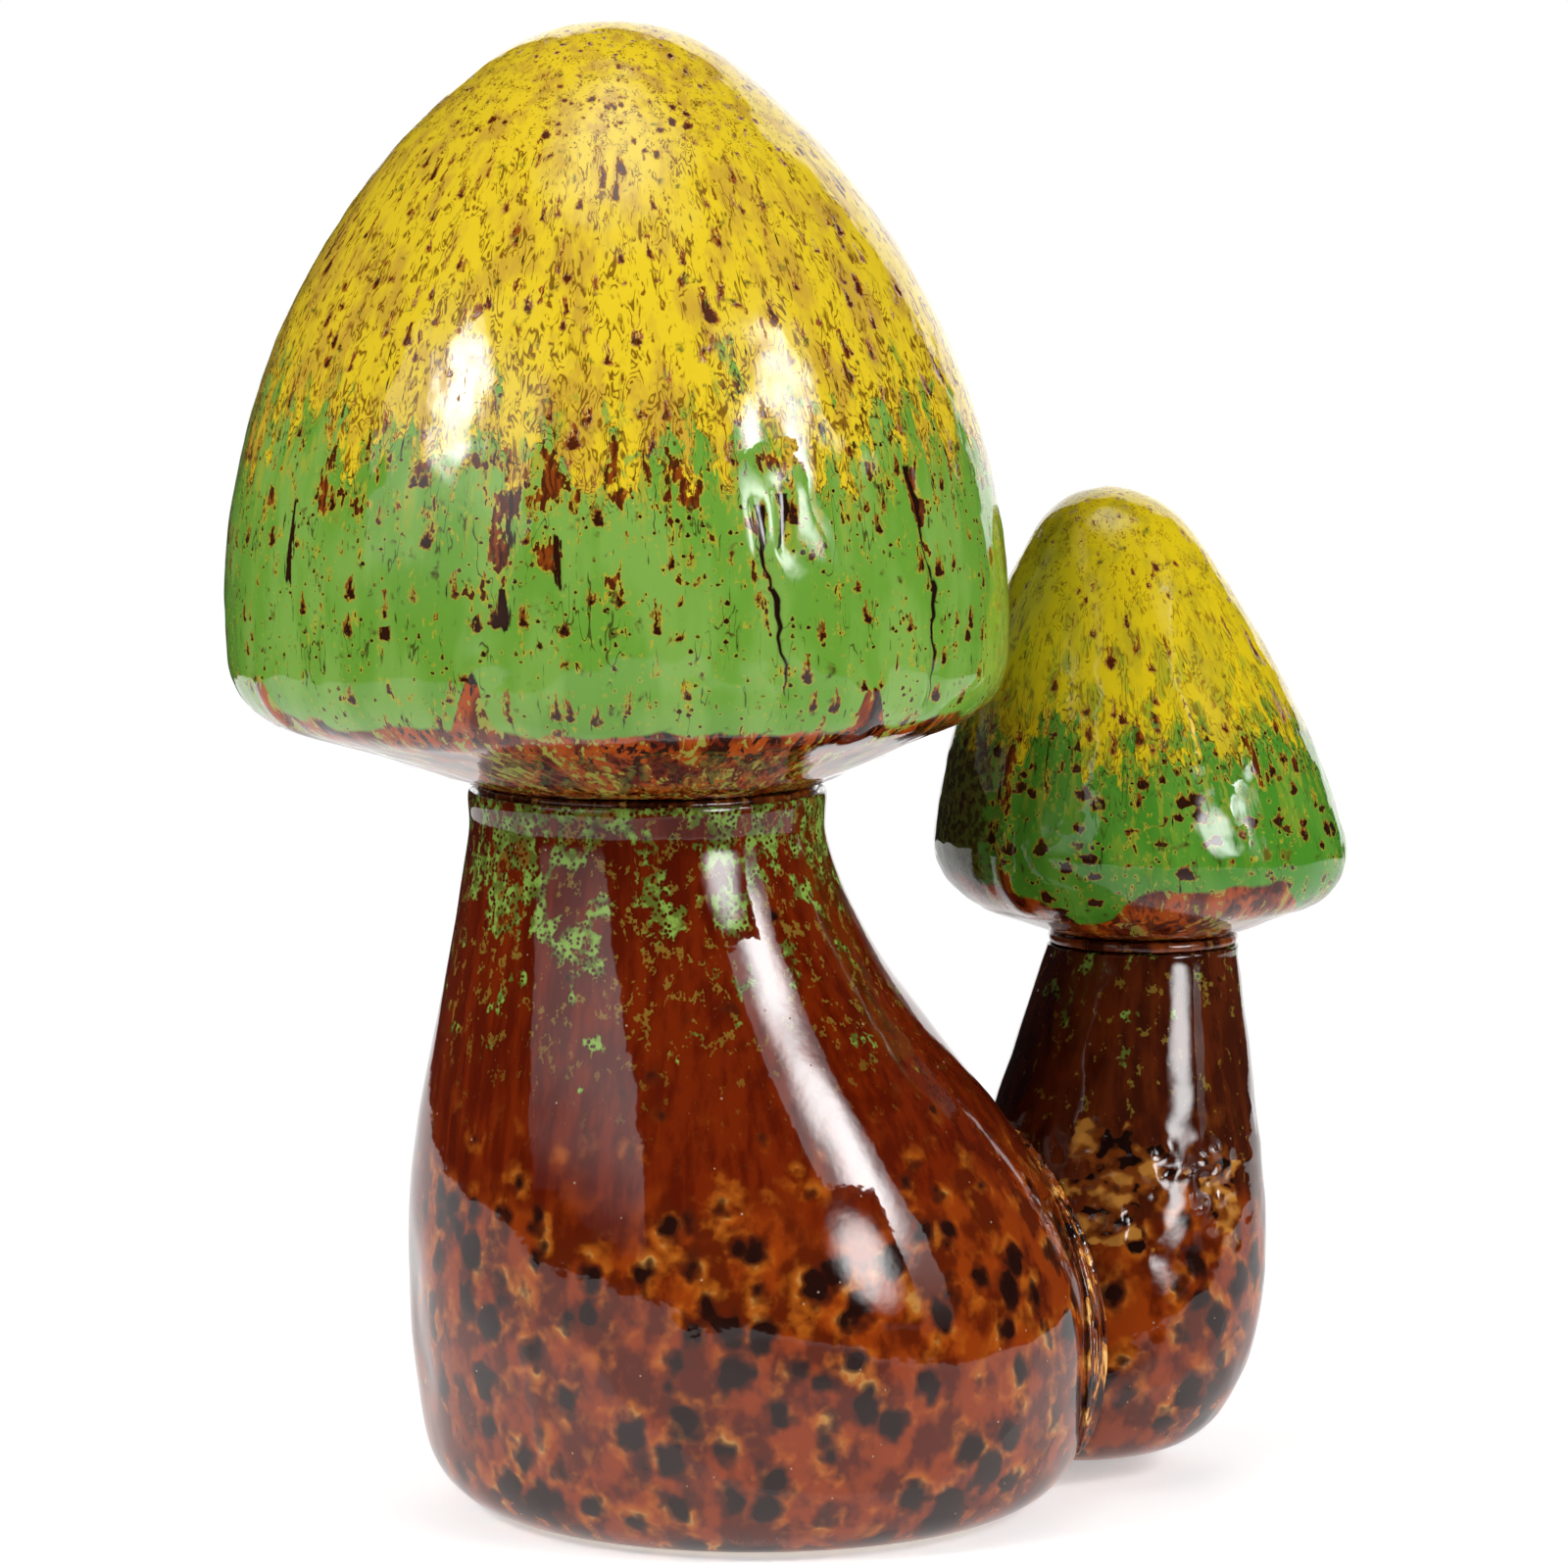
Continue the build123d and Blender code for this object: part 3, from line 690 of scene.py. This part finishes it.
# Small stem: the same casting at a smaller size. It is cut to a saddle where it meets the large stem
# and hangs just clear of the table. Its glaze lies thick and lumpy half way up.
small_neck_height = 54.6
small_stem_rings = [
    # up inside, from the drain hole to the bore of the spigot
    (4.6, 2.55, 33.6), (8.0, 2.6, 33.8), (10.6, 2.8, 38.6), (11.4, 5.2, 39.4), (16.0, 6.0, 40.0),
    (24.0, 7.4, 39.6), (33.0, 8.6, 38.8), (42.0, 8.8, 37.4), (49.0, 7.0, 38.2),
    (51.0, 4.0, 38.6), (54.0, 3.7, 38.6), (59.5, 3.75, 38.6), (60.2, 4.2, 38.6), (60.2, 6.7, 38.6),
    # down outside, over the shoulder of the neck to the foot
    (59.8, 7.15, 38.6), (55.0, 7.2, 38.6), (54.65, 7.6, 38.6), (54.6, 9.3, 38.6),
    (54.5, 9.95, 38.6), (54.2, 10.02, 38.6), (53.6, 10.05, 38.45), (52.6, 10.25, 38.3),
    (51.0, 10.65, 38.2), (46.0, 11.8, 37.6), (40.0, 13.15, 36.9), (38.0, 13.62, 36.63),
    (36.5, 13.97, 36.43), (35.0, 14.32, 36.23), (33.5, 14.66, 36.03), (32.0, 15.0, 35.83),
    (30.5, 15.34, 35.63), (29.0, 15.68, 35.43), (27.5, 16.0, 35.22), (26.0, 16.28, 34.96),
    (23.0, 16.8, 34.4), (19.0, 17.4, 33.6), (15.0, 17.7, 32.6),
    (12.0, 17.7, 31.7), (9.5, 17.3, 31.0), (7.5, 16.5, 30.7), (5.6, 15.25, 30.6), (4.2, 13.85, 30.5),
    (3.2, 12.4, 30.45), (2.5, 10.7, 30.35), (2.05, 8.3, 30.8), (2.0, 5.0, 32.2), (2.1, 3.0, 33.4),
    (2.5, 2.6, 33.6),
]
small_stem = draw_rings("small_stem_casting", small_stem_rings, segments=64, levels=2, closed=True)
places = places_on(small_stem, small_stem_rings)
ripple(small_stem, "small_waves", 8.0, 0.4, np.clip((places[1] - 2.5) / 3.0, 0, 1))
lump_runs = [
    [(-18, 35.5), (-4, 35), (8, 33.5)], [(-14, 32), (-4, 31)], [(-9, 28.5), (0, 27.5)],
    [(40, 33), (43, 28)], [(150, 32), (156, 28)], [(110, 35), (114, 31)],
]
ripple(small_stem, "lumps", 2.8, 1.8, strokes(places, lump_runs, 2.6))
saddle_cutter = draw_rings(
    "saddle_cutter", [ring for ring in large_stem_outside if 0.4 < ring[0] < 70], 72, 1, closed=False
)
saddle = small_stem.modifiers.new("saddle", "BOOLEAN")
saddle.operation = "DIFFERENCE"
saddle.solver = "EXACT"
saddle.object = saddle_cutter
bpy.context.view_layer.objects.active = small_stem
bpy.ops.object.modifier_apply(modifier="saddle")
bpy.data.objects.remove(saddle_cutter)
places = places_on(small_stem, small_stem_rings)
paint(small_stem, "lump", strokes(places, lump_runs, 2.4))
small_stem.data.materials.append(stem_glaze(
    "small_stem_glaze", thick_tone=srgb(54, 18, 6), thin_tone=srgb(84, 33, 10), neck_height=small_neck_height,
    foam_thin=0.16, mottle_height=31.0, offset=(37.0, 11.0, 5.0),
))
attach(small_stem, "root")
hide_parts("small_stem")

# Small neck slip: the ring of slip under the small cap, smoothed off flush with the neck, so that it
# hardly shows under the stem's glaze.
small_seat_height = 55.8
small_ring = draw_rings(
    "small_neck_slip_ring",
    [
        (54.65, 7.4, 38.6), (54.65, 9.0, 38.6), (54.68, 9.75, 38.6), (54.95, 9.95, 38.6),
        (55.45, 9.9, 38.6), (55.72, 9.7, 38.6), (55.75, 9.0, 38.6), (55.75, 7.4, 38.6),
        (55.6, 7.25, 38.6), (54.8, 7.25, 38.6),
    ],
    segments=64, levels=2, closed=True,
)
ripple(small_ring, "small_slip_waves", 3.0, 0.2, np.ones(len(small_ring.data.vertices)))
small_ring.data.materials.append(slip_glaze("small_neck_slip", streaks=0.15))
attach(small_ring, "root")
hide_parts("small_neck_slip")

# Small cap: the same build as the large cap, with a straighter flank and its crown leaning towards
# the large mushroom. Its green ends in scallops over the bare brown rim.
small_inside, small_outside = cap_rings(
    x=38.2, seat=small_seat_height, radius=21.65, dome=37.2, crown=9.6, flank=96.0, rim=6.6, rim_height=9.2,
    lean=-3.8, seat_x=38.6, bore=7.5, neck=9.8, wall=3.5,
)
small_cap = draw_rings("small_cap_casting", small_inside + small_outside, segments=80, levels=2, closed=False)
lay_flow(small_cap, small_outside, 17.0)
places = places_on(small_cap, small_outside)
angles, heights, _ = places
ripple(small_cap, "small_cap_waves", 7.0, 0.3, np.ones(len(heights)))
ripple(small_cap, "small_cap_peel", 2.2, 0.1, np.ones(len(heights)))
small_runs = [[(-43.0, 76.0), (-44.0, 60.0)], [(36.0, 77.0), (37.0, 74.0)], [(52.0, 79.0), (55.0, 75.0)]]
small_rust = strokes(places, small_runs, 1.2)
lobes = [[(-21.0, 66.0), (-21.0, 60.5)], [(60.0, 66.0), (60.0, 62.0)], [(140.0, 66.0), (140.0, 61.0)]]
green_lobes = strokes(places, lobes, 4.5)
# Painted shade: the darker mottle on the side turned to the large mushroom, where the large cap shades it
shaded_side = np.clip((-46 - angles) / 12, 0, 1) * np.clip((angles + 125) / 15, 0, 1)
shaded_side *= np.clip((80 - heights) / 6, 0, 1)
swell(small_cap, "small_drip", small_rust, 0.35)
paint(small_cap, "soot", np.zeros(len(heights)))
paint(small_cap, "rust", small_rust)
paint(small_cap, "finger", np.zeros(len(heights)))
paint(small_cap, "drip", -0.8 * green_lobes)
paint(small_cap, "mottle_and_shade", shaded_side)
small_cap.data.materials.append(cap_glaze(
    "small_cap_glaze", offset=(53.0, 17.0, 29.0), yellow_end=76.0, ragged=0.7, green_end=62.4,
    yellow=srgb(210, 184, 22), cloudy=srgb(184, 164, 30), green=srgb(66, 126, 34), shade=srgb(84, 138, 44),
    specks=-0.05, pools=0.03, drops=(1.7, 0.6, 0.8), busy=0.7, marble=0.6, cracks=[],
))
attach(small_cap, "root")
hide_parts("small_cap")

# Stem seam slip: the saddle of slip that lutes the small stem to the large one. Slip and glaze were
# pressed out round the joint and set in upright ridges, most of them on the large stem.
bpy.ops.object.select_all(action="DESELECT")
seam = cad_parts["stem_seam_slip"].copy()
seam.data = seam.data.copy()
seam.data.materials.clear()
bpy.context.collection.objects.link(seam)
seam.name = "seam_slip"
joint_line = [(4.0, 24.5), (8.5, 26.6), (15.0, 27.3), (20.0, 25.3), (26.0, 21.5), (32.0, 14.0), (36.0, 2.0)]
joint_heights, joint_angles = np.array(joint_line).T
stem_heights, stem_radii, stem_middles = np.array(sorted(large_stem_outside)).T


def seam_ridge(side, top, foot, offset, thickness, sway):
    """Run of slip down the large stem, this far in mm from the joint, thin at both ends."""
    curve = bpy.data.curves.new("ridge", "CURVE")
    curve.dimensions = "3D"
    curve.bevel_depth = thickness * MM
    curve.bevel_resolution = 3
    curve.use_fill_caps = True
    line = curve.splines.new("NURBS")
    shares = np.linspace(0, 1, 8)
    line.points.add(len(shares) - 1)
    for point, share in zip(line.points, shares):
        height = top + (foot - top) * share
        radius = np.interp(height, stem_heights, stem_radii)
        wave = offset + sway * math.sin(7 * share + 3 * offset)
        turn = math.radians(np.interp(height, joint_heights, joint_angles)) + wave / radius
        x = np.interp(height, stem_heights, stem_middles) + (radius + 0.1) * math.cos(turn)
        y = side * (radius + 0.1) * math.sin(turn)
        point.co = (x * MM, y * MM, height * MM, 1)
        point.radius = 0.35 + 0.65 * math.sin(math.pi * share)
    line.order_u = 3
    line.use_endpoint_u = True
    ridge = bpy.data.objects.new("ridge", curve)
    bpy.context.collection.objects.link(ridge)
    ridge.select_set(True)
    bpy.context.view_layer.objects.active = ridge


for side in (-1, 1):
    for top, foot, offset, thickness, sway in (
        (37.0, 4.0, 0.9, 0.8, 0.15), (38.0, 9.0, 2.1, 0.6, 0.2), (36.5, 5.0, 3.2, 0.75, 0.3),
        (35.0, 14.0, 4.3, 0.5, 0.3), (31.0, 6.0, 5.3, 0.65, 0.4), (27.0, 11.0, 6.6, 0.5, 0.4),
        (22.0, 8.0, 7.8, 0.45, 0.4),
    ):
        seam_ridge(side, top, foot, offset, thickness, sway)
bpy.ops.object.convert(target="MESH")
seam.select_set(True)
bpy.context.view_layer.objects.active = seam
bpy.ops.object.join()
bpy.ops.object.mode_set(mode="EDIT")
bpy.ops.mesh.select_all(action="SELECT")
bpy.ops.mesh.remove_doubles(threshold=0.00001)
bpy.ops.mesh.normals_make_consistent(inside=False)
bpy.ops.object.mode_set(mode="OBJECT")
fuse = seam.modifiers.new("fuse", "REMESH")
fuse.mode = "VOXEL"
fuse.voxel_size = 0.3 * MM
bpy.ops.object.modifier_apply(modifier="fuse")
soften = seam.modifiers.new("soften", "SMOOTH")
soften.factor = 0.5
soften.iterations = 3
bpy.ops.object.modifier_apply(modifier="soften")
bpy.ops.object.shade_smooth()
seam.data.materials.append(slip_glaze("seam_slip", streaks=1.0))
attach(seam, "root")
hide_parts("stem_seam_slip")

# Studio: a round white floor that glows to white at its edge, in a dark room. Three soft boxes stand
# at the sides and one hangs overhead. A card, two fills, a flag and a grey sheet even out the rest.
bpy.ops.object.select_all(action="DESELECT")
bpy.ops.mesh.primitive_circle_add(vertices=128, radius=0.5, fill_type="NGON", location=(0, 0, 0))
floor = bpy.context.object
floor.name = "floor"


def sheet_material(name):
    """Empty node tree with a light and an output, and the sheet's own place."""
    material = bpy.data.materials.new(name)
    material.use_nodes = True
    tree = material.node_tree
    tree.nodes.clear()
    lamp = tree.nodes.new("ShaderNodeEmission")
    out = tree.nodes.new("ShaderNodeOutputMaterial")
    spot = tree.nodes.new("ShaderNodeTexCoord").outputs["Object"]
    return material, tree, lamp, out, spot


def floor_paper(glow):
    """White paper, lit by the lamps round the ornament and from below, most towards its edge."""
    material, tree, lamp, out, spot = sheet_material("floor_paper")
    paper = tree.nodes.new("ShaderNodeBsdfDiffuse")
    paper.inputs["Color"].default_value = (0.92, 0.92, 0.92, 1)
    faint = tree.nodes.new("ShaderNodeEmission")
    faint.inputs["Strength"].default_value = glow
    lit = tree.nodes.new("ShaderNodeAddShader")
    length = tree.nodes.new("ShaderNodeVectorMath")
    length.operation = "LENGTH"
    fade = tree.nodes.new("ShaderNodeMapRange")
    fade.interpolation_type = "SMOOTHSTEP"
    fade.inputs["From Min"].default_value = 0.06
    fade.inputs["From Max"].default_value = 0.22
    blend = tree.nodes.new("ShaderNodeMixShader")
    tree.links.new(spot, length.inputs[0])
    tree.links.new(length.outputs["Value"], fade.inputs["Value"])
    tree.links.new(fade.outputs["Result"], blend.inputs[0])
    tree.links.new(paper.outputs[0], lit.inputs[0])
    tree.links.new(faint.outputs[0], lit.inputs[1])
    tree.links.new(lit.outputs[0], blend.inputs[1])
    tree.links.new(lamp.outputs[0], blend.inputs[2])
    tree.links.new(blend.outputs[0], out.inputs["Surface"])
    return material


floor.data.materials.append(floor_paper(glow=0.4))


def soft_box(
    name, angle, distance, height, width, length, even, core=None, core_at=(0, 0), core_size=(1, 1), ends=0.1
):
    """Sheet of light that faces the ornament, angle in degrees from the facing side, sizes in metres.

    With a core, its strength is added to the even one, which fades to a share at top and bottom."""
    turn = math.radians(FACING + angle)
    spot = Vector((distance * math.cos(turn), distance * math.sin(turn), height))
    bpy.ops.object.select_all(action="DESELECT")
    bpy.ops.mesh.primitive_plane_add(size=1)
    sheet = bpy.context.object
    sheet.name = name
    sheet.dimensions = (width, length, 0)
    bpy.ops.object.transform_apply(scale=True)
    sheet.location = spot
    sheet.rotation_euler = (Vector((0, 0, 0.08)) - spot).to_track_quat("Z", "Y").to_euler()
    material, tree, lamp, out, place = sheet_material(name)
    lamp.inputs["Strength"].default_value = even
    if core:
        away = tree.nodes.new("ShaderNodeMapping")
        away.vector_type = "TEXTURE"
        away.inputs["Location"].default_value = (*core_at, 0)
        away.inputs["Scale"].default_value = (*core_size, 1)
        reach = tree.nodes.new("ShaderNodeVectorMath")
        reach.operation = "LENGTH"
        fade = tree.nodes.new("ShaderNodeMapRange")
        fade.interpolation_type = "SMOOTHERSTEP"
        fade.inputs["From Min"].default_value = 0.12
        fade.inputs["To Min"].default_value = core
        fade.inputs["To Max"].default_value = 0.0
        across = tree.nodes.new("ShaderNodeSeparateXYZ")
        from_middle = tree.nodes.new("ShaderNodeMath")
        from_middle.operation = "ABSOLUTE"
        dim = tree.nodes.new("ShaderNodeMapRange")
        dim.interpolation_type = "SMOOTHSTEP"
        dim.inputs["From Min"].default_value = 0.05 * length
        dim.inputs["From Max"].default_value = 0.5 * length
        dim.inputs["To Min"].default_value = even
        dim.inputs["To Max"].default_value = ends * even
        strength = tree.nodes.new("ShaderNodeMath")
        tree.links.new(place, away.inputs["Vector"])
        tree.links.new(away.outputs["Vector"], reach.inputs[0])
        tree.links.new(reach.outputs["Value"], fade.inputs["Value"])
        tree.links.new(place, across.inputs[0])
        tree.links.new(across.outputs["Y"], from_middle.inputs[0])
        tree.links.new(from_middle.outputs[0], dim.inputs["Value"])
        tree.links.new(fade.outputs["Result"], strength.inputs[0])
        tree.links.new(dim.outputs["Result"], strength.inputs[1])
        tree.links.new(strength.outputs[0], lamp.inputs["Strength"])
    tree.links.new(lamp.outputs[0], out.inputs["Surface"])
    sheet.data.materials.append(material)
    sheet.visible_camera = False
    return sheet


soft_box(
    "right_box", angle=59.0, distance=0.9, height=0.5, width=0.52, length=0.95, even=2.2,
    core=21.0, core_at=(-0.03, 0.05), core_size=(0.25, 0.34),
)
soft_box(
    "low_box", angle=47.0, distance=0.88, height=0.29, width=0.5, length=0.42, even=0.0,
    core=15.0, core_size=(0.24, 0.2),
)
left_box = soft_box(
    "left_box", angle=-50.0, distance=0.9, height=0.5, width=0.86, length=0.95, even=1.8,
    core=24.0, core_at=(0.05, 0.12), core_size=(0.2, 0.24),
)
soft_box(
    "top_box", angle=0.0, distance=0.12, height=1.0, width=0.8, length=0.8, even=0.3,
    core=2.6, core_size=(0.46, 0.46),
)

# A card behind that only the glaze mirrors, and two fills that it doesn't
rear_card = soft_box(
    "rear_card", angle=168.0, distance=0.27, height=0.16, width=0.3, length=0.4, even=1.6
)
rear_card.visible_diffuse = rear_card.visible_shadow = False
back_fill = soft_box(
    "back_fill", angle=180.0, distance=0.9, height=0.6, width=0.8, length=0.8, even=2.0
)
left_fill = soft_box(
    "left_fill", angle=-80.0, distance=0.9, height=0.6, width=0.6, length=0.6, even=3.2
)
back_fill.visible_glossy = left_fill.visible_glossy = False

# A black flag keeps the right box out of the small cap, and the left box leaves the small stem alone
cap_flag = soft_box(
    "cap_flag", angle=76.0, distance=0.089, height=0.116, width=0.044, length=0.04, even=0.0
)
cap_flag.visible_diffuse = cap_flag.visible_shadow = False
unlit = bpy.data.collections.new("left_box_unlit")
unlit.objects.link(small_stem)
unlit.collection_objects[0].light_linking.link_state = "EXCLUDE"
left_box.light_linking.receiver_collection = unlit

# A grey sheet on the floor in front, seen only in the glaze, where the white floor would veil it
grey_side = 25.0
grey_sheet = soft_box(
    "grey_sheet", angle=grey_side, distance=0.29, height=0.001, width=0.5, length=0.5, even=1.0,
    core=-0.6, core_size=(0.25, 0.25), ends=1.0,
)
grey_sheet.rotation_euler = (0, 0, math.radians(FACING + grey_side - 90))
grey_sheet.visible_diffuse = grey_sheet.visible_shadow = False

# The white backdrop far behind, seen only past the ornament
bpy.ops.object.select_all(action="DESELECT")
bpy.ops.mesh.primitive_uv_sphere_add(segments=64, ring_count=32, radius=4.0)
backdrop = bpy.context.object
backdrop.name = "backdrop"
material, tree, lamp, out, _ = sheet_material("backdrop")
tree.links.new(lamp.outputs[0], out.inputs["Surface"])
backdrop.data.materials.append(material)
backdrop.visible_shadow = backdrop.visible_glossy = backdrop.visible_diffuse = False

world = bpy.data.worlds.new("room")
world.use_nodes = True
world.node_tree.nodes["Background"].inputs["Color"].default_value = (0.014, 0.014, 0.015, 1)
bpy.context.scene.world = world
bpy.context.scene.view_settings.view_transform = "Standard"

# Camera: a long lens a little above the table, on the ornament's left.
azimuth, elevation, distance = math.radians(-25.0), math.radians(6.59), 0.6618
target = Vector((-0.00264, 0, 0.0731))
away = Vector((
    math.sin(azimuth) * math.cos(elevation),
    -math.cos(azimuth) * math.cos(elevation),
    math.sin(elevation),
))
bpy.ops.object.camera_add(location=target + distance * away)
camera = bpy.context.object
camera.rotation_euler = away.to_track_quat("Z", "Y").to_euler()
camera.data.sensor_width = 36.0
camera.data.lens = 150.1
bpy.context.scene.camera = camera
